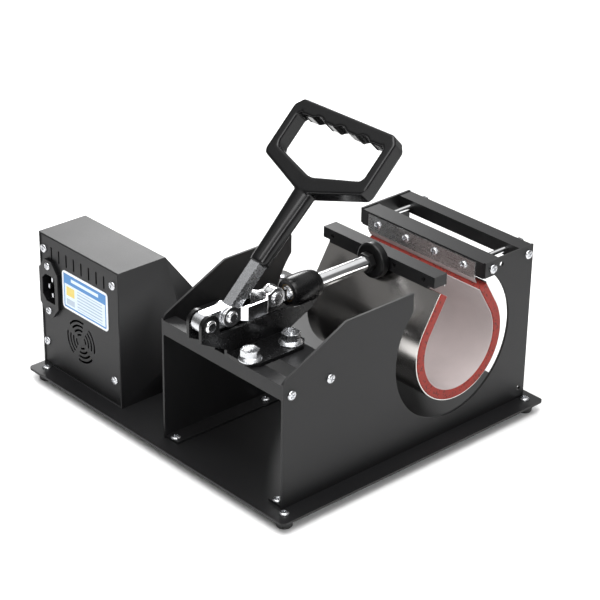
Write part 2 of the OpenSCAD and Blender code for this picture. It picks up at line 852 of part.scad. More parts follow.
module control_case() {
    w = case_wall;
    color(black_sheet) difference() {
        along_x(case_x, case_x + case_w) case_outline(0);
        along_x(case_x + w, case_x + case_w - w) case_outline(w);
        block([case_x + w, case_x + case_w - w], [case_back - 3, case_back + 1],
              [top_z + w, case_z - w]);
        on_slope() block([-case_w / 2 + w, case_w / 2 - w], [3, slope_len - 3], [-4, 1]);
        block([case_mid - 10.5, case_mid + 10.5], [case_front - 1, case_front + 3],
              [switch_z - 7, switch_z + 7]);
        translate([0, case_back - 72, top_z + 26]) rod_x(6, case_x - 1, case_x + 3);
    }
}

// Local frame of the sloping front: +Y runs down the slope and +Z faces out of it
module on_slope() {
    translate([case_mid, slope_top, case_z]) rotate([slope_angle, 0, 0]) mirror([0, 1, 0])
        children();
}

module grille_slots() {
    for (q = [0:3], i = [0:3]) {
        r = 6 + i * 3.9;
        half = i == 0 ? 26 : 33;
        difference() {
            circle(r = r + 0.9);
            circle(r = r - 0.9);
            rotate(q * 90 + 20) polygon([[0, 0], 40 * [cos(half), sin(half)], [0, 60], [-60, 0],
                                         [0, -60], 40 * [cos(half), -sin(half)]]);
        }
    }
}

module rear_panel() {
    face = case_back - panel_in;
    gap = 0.15;
    color(black_sheet) difference() {
        block([case_x + case_wall + gap, case_x + case_w - case_wall - gap],
              [face - panel_t, face], [top_z + case_wall + gap, case_z - case_wall - gap]);
        for (i = [0:vents - 1])
            block([vent_x + (i - (vents - 1) / 2) * vent_pitch - 0.9,
                   vent_x + (i - (vents - 1) / 2) * vent_pitch + 0.9],
                  [face - 5, face + 1], vent_z);
        translate([grille_x, face - 5, grille_z]) rotate([-90, 0, 0]) linear_extrude(8)
            grille_slots();
        for (p = panel_screws)
            translate([p[0], 0, p[1]]) rod_y(1.6, face - 5, face + 1);
        block([inlet_x - 10.5, inlet_x + 10.5], [face - 5, face + 1],
              [inlet_z - 14.5, inlet_z + 14.5]);
        for (s = [-1, 1])
            translate([inlet_x, 0, inlet_z + s * 20]) rod_y(1.6, face - 5, face + 1);
    }
}

module rear_panel_screws() {
    color(zinc) for (p = panel_screws)
        translate([p[0], case_back - panel_in, p[1]]) rotate([-90, 0, 0])
            pan_screw(1.5, 3.7, 1.9, 5);
}

// Vertical mains inlet with a chamfered plug opening and two screw ears
module power_inlet() {
    face = case_back - panel_in;
    color(black_gloss) translate([inlet_x, 0, inlet_z]) difference() {
        union() {
            block([-10.4, 10.4], [face - 22, face], [-14.4, 14.4]);
            block([-12.4, 12.4], [face, face + 3], [-16, 16]);
            translate([0, face + 3, 0]) rotate([90, 0, 0]) linear_extrude(3)
                polygon([[-12.4, -15], [-4.6, -25], [4.6, -25], [12.4, -15],
                         [12.4, 15], [4.6, 25], [-4.6, 25], [-12.4, 15]]);
        }
        translate([0, face + 4, 0]) rotate([90, 0, 0]) linear_extrude(20)
            polygon([[-8.2, -12], [3.4, -12], [8.2, -7.2], [8.2, 7.2], [3.4, 12], [-8.2, 12]]);
        for (s = [-1, 1])
            translate([0, 0, s * 20]) rod_y(1.7, face - 1, face + 4);
        for (p = inlet_pin_places)
            inlet_pin(p, glue);
    }
}

// Blade of the mains inlet, made larger all round by a gap
module inlet_pin(place, gap) {
    face = case_back - panel_in;
    block([place[0] - 1 - gap, place[0] + 1 + gap], [face - 26 - gap, face + gap],
          [place[1] - 2 - gap, place[1] + 2 + gap]);
}

module inlet_pins() {
    color(zinc) translate([inlet_x, 0, inlet_z]) for (p = inlet_pin_places)
        inlet_pin(p, 0);
}

module inlet_screws() {
    color(zinc) for (s = [-1, 1])
        translate([inlet_x, case_back - panel_in + 3, inlet_z + s * 20]) rotate([-90, 0, 0])
            pan_screw(1.5, 3.2, 1.8, 8);
}

module rating_plate() {
    w = 59.6;
    h = 33.8;
    r = 3.6;
    face = case_back - panel_in;
    color("#4d86c6") translate([plate_x, face, plate_z]) rotate([-90, 0, 0]) linear_extrude(0.5) {
        square([w - 2 * r, h], center = true);
        square([w, h - 2 * r], center = true);
        for (sx = [-1, 1], sy = [-1, 1])
            translate([sx * (w / 2 - r), sy * (h / 2 - r)]) circle(r = r);
    }
}

module front_panel() {
    gap = 0.15;
    color(black_sheet) on_slope() difference() {
        block([-case_w / 2 + case_wall + gap, case_w / 2 - case_wall - gap],
              [3 + gap, slope_len - 3 - gap], [-2.1, -0.6]);
        block([-window_w / 2, window_w / 2],
              [window_s - window_h / 2, window_s + window_h / 2], [-4, 1]);
        for (x = key_xs)
            translate([x, key_s, -4]) cylinder(h = 6, r = key_r + 0.25);
    }
}

module display_window() {
    color([0.35, 0.5, 0.6, 0.5]) on_slope()
        block([-window_w / 2 + 0.1, window_w / 2 - 0.1],
              [window_s - window_h / 2 + 0.1, window_s + window_h / 2 - 0.1], [-2, -0.4]);
}

module display_module() {
    color("#27403a") on_slope() {
        block([-window_w / 2 - 4, window_w / 2 + 4],
              [window_s - window_h / 2 - 5, key_s + 9], [-10.6, -9]);
        block([-window_w / 2 + 1, window_w / 2 - 1],
              [window_s - window_h / 2 + 1, window_s + window_h / 2 - 1], [-9.01, -3]);
        for (x = key_xs)
            translate([x, key_s, -9.01]) cylinder(h = 3.2, r = 3);
    }
}

// Round key with a collar behind the panel; its stem stops short of the switch below
module key_cap(x) {
    on_slope() translate([x, key_s, 0]) {
        translate([0, 0, -4.3]) cylinder(h = 5.3, r = key_r);
        translate([0, 0, -4.3]) cylinder(h = 1.2, r = key_r + 1.2);
    }
}

module set_key() {
    color("#9fa3a8") key_cap(key_xs[0]);
}

module up_key() {
    color("#9fa3a8") key_cap(key_xs[1]);
}

module down_key() {
    color("#9fa3a8") key_cap(key_xs[2]);
}

module start_key() {
    color("#b5392e") key_cap(key_xs[3]);
}

module switch_bezel() {
    color(black_gloss) difference() {
        union() {
            block([case_mid - 12, case_mid + 12], [case_front - 1.5, case_front],
                  [switch_z - 8.5, switch_z + 8.5]);
            block([case_mid - 10.4, case_mid + 10.4], [case_front - eps, case_front + 12],
                  [switch_z - 6.9, switch_z + 6.9]);
        }
        block([case_mid - 9, case_mid + 9], [case_front - 2, case_front + 9],
              [switch_z - 5.6, switch_z + 5.6]);
        translate([case_mid, rocker_y, switch_z - 9]) cylinder(h = 18, r = 1 + run_gap);
    }
}

rocker_y = case_front + 4.6;      // axle of the rocker
rocker_swing = 11;                // degrees to either side

module rocker_switch() {
    color(silicone_red) translate([case_mid, rocker_y, 0]) rotate(-rocker_swing) {
        along_z(switch_z - 5.3, switch_z + 5.3)
            polygon([[-7.6, -5.2], [0, -3.6], [7.6, -5.2], [7, 0], [2, 2.8], [-2, 2.8], [-7, 0]]);
        along_z(switch_z - 6.6, switch_z + 6.6) circle(r = 1);
    }
}

// Round panel socket for the heater lead, on the side that faces the press
module heater_socket() {
    color(chrome) translate([0, case_back - 72, top_z + 26]) difference() {
        union() {
            rod_x(8, case_x - 2, case_x);
            rod_x(5.9, case_x - 8, case_x + 10);
            translate([case_x + case_wall, 0, 0]) rotate([0, 90, 0])
                cylinder(h = 2.4, r = 8.4, $fn = 6);
        }
        rod_x(4.3, case_x - 9, case_x - 2);
    }
}

module controller_board() {
    y = case_back - 30;
    color("#2f5a3a") {
        block([case_x + 12, case_x + 72], [y - 62, y], [top_z + 9, top_z + 10.6]);
        for (sx = [0, 1], sy = [0, 1])
            translate([case_x + 16 + sx * 52, y - 4 - sy * 54, top_z + case_wall])
                cylinder(h = 8, r = 2.5);
        block([case_x + 18, case_x + 38], [y - 22, y - 8], [top_z + 10.5, top_z + 26]);
        block([case_x + 44, case_x + 70], [y - 14, y - 6], [top_z + 10.5, top_z + 21]);
        block([case_x + 18, case_x + 48], [y - 56, y - 50], [top_z + 10.5, top_z + 34]);
    }
}

module transformer() {
    x = case_x + 86;
    y = case_back - 76;
    color("#5b5f63") {
        block([x - 9, x + 9], [y - 20, y + 20], [top_z + case_wall, top_z + 36]);
        block([x - 12, x + 12], [y - 13, y + 13], [top_z + 8, top_z + 30]);
    }
}

// ---------- one line for each sub-part ----------

base_plate();
rubber_feet();
base_screws();
side_plate_left();
side_plate_right();
rear_cross_bar();
front_cross_bar();
side_screws();
front_tie_bar();
fixed_bar();
tie_rods();
rod_nuts();
mat_clamp_strip();
strip_screws();
mat_steel_band();
mat_silicone_pad();
mat_liner();
heater_terminal();
moving_bar();
bar_screws();
bar_strip();
bar_strip_screws();
bar_boss();
pressure_disc();
lock_nut();
plunger_rod();
clamp_bracket_left();
clamp_bracket_right();
guide_barrel();
guide_bush();
base_rivet();
handle_lever();
handle_grip();
grip_pin();
link_left();
link_right();
lever_rivet();
plunger_rivets();
clamp_bolts();
clamp_nuts();
clamp_washers();
control_case();
rear_panel();
rear_panel_screws();
front_panel();
display_module();
display_window();
set_key();
up_key();
down_key();
start_key();
switch_bezel();
rocker_switch();
power_inlet();
inlet_pins();
inlet_screws();
rating_plate();
heater_socket();
controller_board();
transformer();
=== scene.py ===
"""Mug heat press: finishes, softened edges and soft parts built round its mechanical frame.

Every piece is in metres in the press's own frame: +X towards the control box, -Y to the front,
+Z up.
"""

import json
import math

import bmesh
import bpy
from mathutils import Matrix, Vector


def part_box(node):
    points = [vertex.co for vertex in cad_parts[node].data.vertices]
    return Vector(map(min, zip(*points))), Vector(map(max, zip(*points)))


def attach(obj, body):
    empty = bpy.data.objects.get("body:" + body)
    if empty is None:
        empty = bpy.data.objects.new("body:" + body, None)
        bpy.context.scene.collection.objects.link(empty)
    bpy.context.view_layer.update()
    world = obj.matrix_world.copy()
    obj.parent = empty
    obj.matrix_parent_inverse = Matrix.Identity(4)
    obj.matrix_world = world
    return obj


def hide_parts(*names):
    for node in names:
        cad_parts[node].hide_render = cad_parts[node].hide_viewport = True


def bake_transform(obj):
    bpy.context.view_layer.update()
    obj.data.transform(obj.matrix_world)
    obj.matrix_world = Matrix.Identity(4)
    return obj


bl_info = {
    "name": "Mug heat press",
    "version": (1, 0, 0),
    "blender": (4, 5, 0),
    "location": "3D View > Sidebar > Mug press",
    "description": "Builds the visible pieces of a mug heat press",
    "category": "Object",
}

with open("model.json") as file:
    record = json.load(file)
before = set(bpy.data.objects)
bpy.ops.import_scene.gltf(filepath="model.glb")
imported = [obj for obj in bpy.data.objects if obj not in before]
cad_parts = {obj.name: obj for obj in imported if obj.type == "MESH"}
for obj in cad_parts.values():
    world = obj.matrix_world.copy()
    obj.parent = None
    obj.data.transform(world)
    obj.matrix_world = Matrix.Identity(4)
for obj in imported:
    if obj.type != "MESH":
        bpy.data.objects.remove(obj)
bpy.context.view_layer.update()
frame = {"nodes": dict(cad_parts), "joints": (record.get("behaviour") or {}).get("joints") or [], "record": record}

MM = 0.001
WELD = 1e-6
ON_AXIS = 1e-7
FLAT = math.radians(0.6)


def joint_place(name):
    """Where a joint of the frame sits, as a vector."""
    return Vector(next(j for j in frame["joints"] if j["name"] == name)["pos_m"])


def mount(name):
    """A mount of the frame's record."""
    return next(m for m in frame["record"]["mounts"] if m["name"] == name)


LEVER_PIVOT = joint_place("link_pivot")
SEAT = mount("mug_seat")
SEAT_CENTRE = Vector(SEAT["pos_m"])
SEAT_RADIUS = SEAT["dims"]["r_mm"] * MM
BODIES = frame["record"]["behaviour"]["bodies"]
BODY_OF = {node: body for body, nodes in BODIES.items() for node in nodes}
SLOTS = {part["node"]: part["material_slot"] for part in frame["record"]["subparts"]}


# ---------------------------------------------------------------- sizes and colours


def length(name, default, text):
    """A length setting in metres."""
    return bpy.props.FloatProperty(
        name=name, default=default, min=0, unit="LENGTH", precision=5, description=text
    )


def colour(name, default, text):
    """A colour setting."""
    return bpy.props.FloatVectorProperty(
        name=name, default=default, size=3, min=0, max=1, subtype="COLOR", description=text
    )


class PressFinish(bpy.types.PropertyGroup):
    """Colours of the press."""

    coat: colour("Powder coat", (0.0045, 0.0045, 0.005), "Satin black of the sheet metal")
    gloss: colour("Gloss black", (0.0028, 0.0028, 0.003), "Black of the clamp and the grip")
    zinc: colour("Zinc", (0.66, 0.67, 0.69), "Plating of screws, bolts and the lever")
    band: colour("Steel band", (0.71, 0.685, 0.66), "Bright sheet round the heating mat")
    silicone: colour("Silicone", (0.25, 0.016, 0.008), "Red of the heating mat")
    lining: colour("Lining", (0.47, 0.41, 0.405), "Cloth that touches the mug")
    label: colour("Label blue", (0.03, 0.22, 0.55), "Blue of the plate on the control box")


class PressSizes(bpy.types.PropertyGroup):
    """Sizes that shape the pieces."""

    grip_round: length("Grip rounding", 3.7 * MM, "Rounding of the loop of the grip")
    grip_voxel: length("Grip fineness", 0.75 * MM, "Voxel that the grip is fused with")
    lever_tilt: bpy.props.FloatProperty(
        name="Lever tilt", default=math.radians(44), subtype="ANGLE",
        description="Lever above the horizontal",
    )
    loop_start: length("Loop start", 106 * MM, "Distance from the link pivot to the loop")
    loop_height: length("Loop height", 65.5 * MM, "Height of the loop along the lever")
    loop_width: length("Loop width", 107.6 * MM, "Outer width of the loop")
    loop_depth: length("Loop depth", 13.4 * MM, "Thickness of the loop")
    pad: length("Pad", 7.7 * MM, "Thickness of the silicone pad")
    lining: length("Lining", 0.8 * MM, "Thickness of the lining")


def finish():
    """The current colours."""
    return bpy.context.scene.press_finish


def sizes():
    """The current sizes."""
    return bpy.context.scene.press_sizes


# ---------------------------------------------------------------- shader maths


class Value:
    """A number in a shader tree: an expression on it adds Math nodes."""

    def __init__(self, shader, socket):
        self.shader = shader
        self.socket = socket

    def _with(self, operation, other, reverse=False):
        pair = (other, self) if reverse else (self, other)
        return self.shader.maths(operation, *pair)

    def __add__(self, other):
        return self._with("ADD", other)

    def __radd__(self, other):
        return self._with("ADD", other, True)

    def __sub__(self, other):
        return self._with("SUBTRACT", other)

    def __rsub__(self, other):
        return self._with("SUBTRACT", other, True)

    def __mul__(self, other):
        return self._with("MULTIPLY", other)

    def __gt__(self, other):
        return self._with("GREATER_THAN", other)

    def __lt__(self, other):
        return self._with("LESS_THAN", other)


class Shader:
    """One procedural material on object coordinates."""

    def __init__(self, name):
        self.material = bpy.data.materials.new(name)
        self.material.use_nodes = True
        self.tree = self.material.node_tree
        self.tree.nodes.clear()
        coordinates = self.node("ShaderNodeTexCoord")
        self.place = coordinates.outputs["Object"]

    def node(self, kind, settings=None, inputs=None):
        """Adds a node; settings are set before the values or links of its sockets."""
        made = self.tree.nodes.new(kind)
        for key, value in (settings or {}).items():
            if key == "stops":
                ramp = made.color_ramp
                while len(ramp.elements) < len(value):
                    ramp.elements.new(1)
                for element, (position, tint) in zip(ramp.elements, value):
                    element.position = position
                    element.color = (*tint, 1)
            else:
                setattr(made, key, value)
        for key, value in (inputs or {}).items():
            self.feed(made.inputs[key], value)
        return made

    def feed(self, socket, value):
        """Links a socket or sets its value."""
        if isinstance(value, Value):
            value = value.socket
        if isinstance(value, bpy.types.NodeSocket):
            self.tree.links.new(value, socket)
        elif socket.type == "RGBA" and len(value) == 3:
            socket.default_value = (*value, 1)
        else:
            socket.default_value = value

    def maths(self, operation, *values):
        made = self.node("ShaderNodeMath", {"operation": operation}, dict(enumerate(values)))
        return Value(self, made.outputs[0])

    def axes(self):
        """The three object coordinates as numbers."""
        split = self.node("ShaderNodeSeparateXYZ", None, {0: self.place})
        return [Value(self, s) for s in split.outputs]

    def stretched(self, scale):
        """Object coordinates with a separate scale along each axis."""
        inputs = {"Vector": self.place, "Scale": scale}
        return self.node("ShaderNodeMapping", None, inputs).outputs[0]

    def noise(self, scale, detail=3, vector=None):
        made = self.node(
            "ShaderNodeTexNoise", None,
            {"Vector": vector or self.place, "Scale": scale, "Detail": detail, "Roughness": 0.55},
        )
        return Value(self, made.outputs[0])

    def spots(self, scale, low, high):
        """A mask of cells that is 1 near each cell's centre."""
        inputs = {"Vector": self.place, "Scale": scale, "Randomness": 1}
        made = self.node("ShaderNodeTexVoronoi", None, inputs)
        distance = Value(self, made.outputs["Distance"])
        return self.ramp(distance, [(low, (1, 1, 1)), (high, (0, 0, 0))])

    def ramp(self, factor, stops):
        made = self.node("ShaderNodeValToRGB", {"stops": stops}, {0: factor})
        return Value(self, made.outputs[0])

    def mix(self, factor, first, second):
        """A blend of two colours."""
        made = self.node("ShaderNodeMix", {"data_type": "RGBA"}, {0: factor, 6: first, 7: second})
        return made.outputs[2]

    def bump(self, height, depth, strength):
        inputs = {"Height": height, "Distance": depth, "Strength": strength}
        return self.node("ShaderNodeBump", None, inputs).outputs[0]

    def surface(self, **sockets):
        """Ends the material in one Principled surface; names use _ for spaces."""
        inputs = {k.replace("_", " "): v for k, v in sockets.items()}
        made = self.node("ShaderNodeBsdfPrincipled", None, inputs)
        out = self.node("ShaderNodeOutputMaterial")
        self.tree.links.new(made.outputs[0], out.inputs[0])
        return self.material


def scaled(tint, factor):
    """A colour made lighter or darker."""
    return tuple(min(1.0, c * factor) for c in tint)


def powder_coat():
    """Satin black powder coat: a fine orange peel with faint dust."""
    s = Shader("powder_coat")
    peel = s.noise(1500, 4)
    cloud = s.noise(24, 3)
    base = s.mix(cloud, scaled(finish().coat, 0.85), scaled(finish().coat, 1.25))
    return s.surface(Base_Color=base, Roughness=0.36 + peel * 0.14 + cloud * 0.06,
                     Specular_IOR_Level=0.40, Normal=s.bump(peel, 0.05 * MM, 0.55))


def gloss_black(name, roughness, texture):
    """Gloss black lacquer or moulded plastic with slight waviness."""
    s = Shader(name)
    wave = s.noise(90, 2)
    grain = s.noise(texture, 3)
    base = s.mix(wave, finish().gloss, scaled(finish().gloss, 1.8))
    return s.surface(Base_Color=base, Roughness=roughness + wave * 0.10 + grain * 0.05,
                     Normal=s.bump(grain, 0.03 * MM, 0.35), Specular_IOR_Level=0.34)


def plated(name, tint, roughness, streak):
    """Bright plated metal with faint drawn lines and small stains."""
    s = Shader(name)
    lines = s.noise(1, 4, s.stretched(streak))
    stain = s.noise(160, 3)
    base = s.mix(stain, scaled(tint, 0.86), scaled(tint, 1.06))
    return s.surface(Base_Color=base, Metallic=1.0,
                     Roughness=roughness + lines * 0.10 + stain * 0.05,
                     Normal=s.bump(lines, 0.006 * MM, 0.2))


def rolled_band():
    """Bright rolled sheet: lines round the mat, soft handling marks."""
    s = Shader("rolled_band")
    lines = s.noise(1, 4, s.stretched((2200, 60, 60)))
    marks = s.noise(38, 4)
    base = s.mix(marks, scaled(finish().band, 0.92), scaled(finish().band, 1.05))
    return s.surface(Base_Color=base, Metallic=1.0,
                     Roughness=0.13 + lines * 0.05 + marks * 0.09,
                     Normal=s.bump(lines, 0.008 * MM, 0.3))


def silicone():
    """Red silicone rubber, open-pored at its cut edge, with dark and pale flecks."""
    s = Shader("silicone")
    dark = s.spots(430, 0.16, 0.46) * (s.noise(190, 2) > 0.47)
    pale = s.spots(520, 0.06, 0.24) * (s.noise(150, 2) > 0.56)
    cloud = s.noise(320, 4)
    body = s.mix(cloud, scaled(finish().silicone, 0.72), scaled(finish().silicone, 1.35))
    body = s.mix(dark * 0.85, body, scaled(finish().silicone, 0.16))
    body = s.mix(pale * 0.4, body, (0.48, 0.12, 0.08))
    return s.surface(Base_Color=body, Roughness=0.58 + cloud * 0.2,
                     Normal=s.bump(cloud - dark, 0.16 * MM, 0.7), Sheen_Weight=0.1)


def lining_cloth():
    """Woven glass cloth, a plain weave that runs with the mat."""
    s = Shader("lining_cloth")
    x, y, z = s.axes()
    run = s.maths("SINE", x * 5200)
    turn = s.maths("SINE", s.maths("ARCTAN2", y - SEAT_CENTRE.y, z - SEAT_CENTRE.z) * 190)
    weave = (run * turn) * 0.5 + 0.5
    stain = s.noise(45, 4)
    base = s.mix(stain, scaled(finish().lining, 0.88), scaled(finish().lining, 1.1))
    base = s.mix(weave * 0.25, base, scaled(finish().lining, 0.6))
    return s.surface(Base_Color=base, Roughness=0.78 + weave * 0.12,
                     Normal=s.bump(weave, 0.08 * MM, 0.6))


def rubber():
    """Matt black rubber of the feet."""
    s = Shader("foot_rubber")
    grain = s.noise(1800, 3)
    base = s.mix(grain, (0.012, 0.012, 0.012), (0.03, 0.03, 0.03))
    return s.surface(Base_Color=base, Roughness=0.68 + grain * 0.2,
                     Normal=s.bump(grain, 0.08 * MM, 0.6))


def moulded(name, tint, roughness):
    """Plain moulded plastic with a fine texture."""
    s = Shader(name)
    grain = s.noise(1600, 3)
    base = s.mix(grain, scaled(tint, 0.9), scaled(tint, 1.08))
    return s.surface(Base_Color=base, Roughness=roughness + grain * 0.1,
                     Normal=s.bump(grain, 0.03 * MM, 0.4))


def sintered_bronze():
    """Porous bronze of the bush."""
    s = Shader("sintered_bronze")
    pores = s.noise(1500, 4)
    base = s.mix(pores, (0.10, 0.07, 0.035), (0.24, 0.165, 0.08))
    return s.surface(Base_Color=base, Metallic=1.0, Roughness=0.3 + pores * 0.25,
                     Normal=s.bump(pores, 0.04 * MM, 0.6))


def circuit_lacquer():
    """Green lacquer with darker copper runs under it."""
    s = Shader("circuit_lacquer")
    runs = s.maths("FRACT", s.axes()[0] * 420) > 0.55
    spread = s.noise(260, 2) > 0.5
    base = s.mix(runs * spread, (0.012, 0.07, 0.03), (0.03, 0.14, 0.06))
    return s.surface(Base_Color=base, Roughness=0.3 + s.noise(500) * 0.15)


def clear_window():
    """Smoked clear plastic over the display."""
    s = Shader("clear_window")
    film = s.noise(70, 3)
    return s.surface(Base_Color=s.mix(film, (0.02, 0.03, 0.035), (0.04, 0.05, 0.06)),
                     Roughness=0.06 + film * 0.06, Coat_Weight=0.4, Alpha=0.82)


def rating_label():
    """Printed plate with a plain header, blank rows and no lettering."""
    s = Shader("rating_label")
    low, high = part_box("rating_plate")
    x, _, z = s.axes()
    u = (high.x - x) * (1 / (high.x - low.x))
    v = (z - low.z) * (1 / (high.z - low.z))

    def patch(left, right, bottom, top):
        return (u > left) * (u < right) * (v > bottom) * (v < top)

    paint = (0.86, 0.89, 0.92)
    # Each area is left, right, bottom and top as shares of the plate
    areas = [
        ((0.035, 0.965, 0.06, 0.94), finish().label),
        ((0.055, 0.945, 0.10, 0.68), (0.72, 0.83, 0.93)),
        ((0.20, 0.80, 0.775, 0.86), (0.72, 0.84, 0.95)),
        ((0.09, 0.27, 0.38, 0.62), (0.80, 0.62, 0.12)),
        ((0.09, 0.27, 0.15, 0.30), (0.45, 0.55, 0.66)),
    ]
    for area, tint in areas:
        paint = s.mix(patch(*area), paint, tint)
    rows = s.maths("FRACT", v * 12.5) > 0.55
    paint = s.mix(rows * patch(0.33, 0.88, 0.14, 0.63), paint, (0.38, 0.50, 0.64))
    grain = s.noise(900, 2)
    return s.surface(Base_Color=paint, Roughness=0.32 + grain * 0.1, Coat_Weight=0.3)


MATERIALS = {}


def build_materials():
    """Makes every finish once."""
    zinc = finish().zinc
    MATERIALS.update(
        powder_black=powder_coat(),
        clamp_black=gloss_black("clamp_lacquer", 0.20, 700),
        grip_black=gloss_black("grip_plastic", 0.13, 260),
        black_plastic=gloss_black("moulded_black", 0.24, 1200),
        black_steel=gloss_black("black_oxide", 0.34, 1500),
        rubber=rubber(),
        zinc=plated("zinc_plate", zinc, 0.19, (500, 500, 500)),
        chrome=plated("bright_chrome", (0.82, 0.825, 0.835), 0.06, (700, 60, 700)),
        stainless=plated("brushed_strip", (0.60, 0.60, 0.60), 0.20, (40, 2600, 2600)),
        mirror_steel=rolled_band(),
        silicone=silicone(),
        lining=lining_cloth(),
        bronze=sintered_bronze(),
        circuit_board=circuit_lacquer(),
        window=clear_window(),
        grey_key=moulded("key_grey", (0.30, 0.32, 0.34), 0.42),
        red_key=moulded("key_red", (0.50, 0.03, 0.02), 0.25),
        label=rating_label(),
        transformer_steel=moulded("core_varnish", (0.10, 0.10, 0.11), 0.40),
    )
    for name, node in frame["nodes"].items():
        node.data.materials.clear()
        node.data.materials.append(MATERIALS[SLOTS[name]])


# ---------------------------------------------------------------- mesh tools


def linked(name, mesh, slot):
    """A new object at the origin with one finish."""
    mesh.name = name
    piece = bpy.data.objects.new(name, mesh)
    bpy.context.scene.collection.objects.link(piece)
    mesh.materials.clear()
    mesh.materials.append(MATERIALS[slot])
    return piece


def smooth(mesh, angle):
    """Smooth shading with creases at the angle, in degrees."""
    mesh.shade_smooth()
    mesh.set_sharp_from_angle(angle=math.radians(angle))


def to_mesh(bm):
    """Closes a bmesh into mesh data with its faces outwards."""
    bmesh.ops.remove_doubles(bm, verts=bm.verts, dist=WELD)
    bmesh.ops.recalc_face_normals(bm, faces=bm.faces)
    mesh = bpy.data.meshes.new("piece")
    bm.to_mesh(mesh)
    bm.free()
    return mesh


def settled(piece):
    """Turns a piece with live modifiers into a plain mesh."""
    graph = bpy.context.evaluated_depsgraph_get()
    mesh = bpy.data.meshes.new_from_object(piece.evaluated_get(graph))
    piece.modifiers.clear()
    old = piece.data
    piece.data = mesh
    bpy.data.meshes.remove(old)


def bevelled(piece, width, segments=2, angle=32):
    """Rounds the edges of a piece."""
    bevel = piece.modifiers.new("Rounding", "BEVEL")
    bevel.width = width
    bevel.segments = segments
    bevel.limit_method = "ANGLE"
    bevel.angle_limit = math.radians(angle)
    bevel.miter_outer = "MITER_ARC"
    settled(piece)
    smooth(piece.data, 40)
    flatten = piece.modifiers.new("Flat faces", "WEIGHTED_NORMAL")
    flatten.keep_sharp = True
    flatten.weight = 100
    settled(piece)


def softened(node, width):
    """A copy of a mechanical part with rounded edges, which stands for it."""
    bm = bmesh.new()
    bm.from_mesh(frame["nodes"][node].data)
    bmesh.ops.remove_doubles(bm, verts=bm.verts, dist=2 * WELD)
    bmesh.ops.dissolve_limit(bm, angle_limit=FLAT, verts=bm.verts, edges=bm.edges)
    slot = SLOTS[node]
    piece = linked(node + "_finished", to_mesh(bm), slot)
    bevelled(piece, width)
    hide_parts(node)
    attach(piece, BODY_OF[node])


def islands(node):
    """Lowest and highest corners of each loose part of a node."""
    bm = bmesh.new()
    bm.from_mesh(frame["nodes"][node].data)
    bmesh.ops.remove_doubles(bm, verts=bm.verts, dist=WELD)
    found = []
    left = set(bm.verts)
    while left:
        stack = [left.pop()]
        part = []
        while stack:
            v = stack.pop()
            part.append(v.co.copy())
            for e in v.link_edges:
                other = e.other_vert(v)
                if other in left:
                    left.remove(other)
                    stack.append(other)
        found.append((Vector(map(min, zip(*part))), Vector(map(max, zip(*part)))))
    bm.free()
    return sorted(found, key=lambda pair: tuple(round(c, 5) for c in pair[0]))


def lathe(profile, origin, axis, steps):
    """A closed turned shape: profile is (radius, distance along the axis) pairs."""
    turn = Vector(axis).to_track_quat("Z", "Y").to_matrix().to_4x4()
    turn.translation = Vector(origin)
    bm = bmesh.new()
    rings = []
    for r, h in profile:
        if r < ON_AXIS:
            rings.append([bm.verts.new(turn @ Vector((0, 0, h)))] * steps)
        else:
            rings.append([bm.verts.new(turn @ Vector((r * math.cos(a), r * math.sin(a), h)))
                          for a in (2 * math.pi * i / steps for i in range(steps))])
    for first, second in zip(rings, rings[1:]):
        for i in range(steps):
            j = (i + 1) % steps
            corners = []
            for v in (first[i], first[j], second[j], second[i]):
                if v not in corners:
                    corners.append(v)
            if len(corners) > 2:
                bm.faces.new(corners)
    return bm


def filleted(points, radius, steps=5, share=0.45):
    """Rounds the corners of a closed outline, using at most a share of each side."""
    rounded = []
    for i, here in enumerate(points):
        here = Vector(here)
        before = Vector(points[i - 1]) - here
        after = Vector(points[(i + 1) % len(points)]) - here
        angle = before.angle(after)
        reach = min(radius / math.tan(angle / 2), share * before.length, share * after.length)
        start = here + before.normalized() * reach
        end = here + after.normalized() * reach
        for k in range(steps + 1):
            t = k / steps
            rounded.append((1 - t) ** 2 * start + 2 * t * (1 - t) * here + t ** 2 * end)
    return rounded


def slab(outlines, low, high):
    """A closed plate from an outline and its holes, between two heights."""
    bm = bmesh.new()
    edges = []
    for outline in outlines:
        ring = [bm.verts.new((p[0], p[1], low)) for p in outline]
        edges += [bm.edges.new((ring[i - 1], ring[i])) for i in range(len(ring))]
    bmesh.ops.triangle_fill(bm, use_beauty=True, use_dissolve=False, edges=edges)
    made = bmesh.ops.extrude_face_region(bm, geom=bm.faces[:])
    moved = [v for v in made["geom"] if isinstance(v, bmesh.types.BMVert)]
    bmesh.ops.translate(bm, verts=moved, vec=(0, 0, high - low))
    bmesh.ops.dissolve_limit(bm, angle_limit=0.01, verts=bm.verts, edges=bm.edges)
    return bm


# ---------------------------------------------------------------- heating mat

REAR_TURN = math.radians(31.2)
FRONT_TURN = math.radians(148.9)
REAR_LEG = 31.4 * MM
FRONT_LEG = 24.2 * MM
LEG_STEPS = 8


def mat_line(radius, steps=110):
    """Points (y, z) down the fixed leg, round the mug and up the free leg."""
    def leg(turn, along):
        return Vector((
            SEAT_CENTRE.y + radius * math.cos(turn) - along * math.sin(turn),
            SEAT_CENTRE.z + radius * math.sin(turn) + along * math.cos(turn),
        ))

    end = REAR_TURN + 2 * math.pi
    line = [leg(FRONT_TURN, -FRONT_LEG * (1 - k / LEG_STEPS)) for k in range(LEG_STEPS)]
    line += [leg(FRONT_TURN + (end - FRONT_TURN) * k / steps, 0) for k in range(steps + 1)]
    line += [leg(REAR_TURN, REAR_LEG * (k + 1) / LEG_STEPS) for k in range(LEG_STEPS)]
    return line


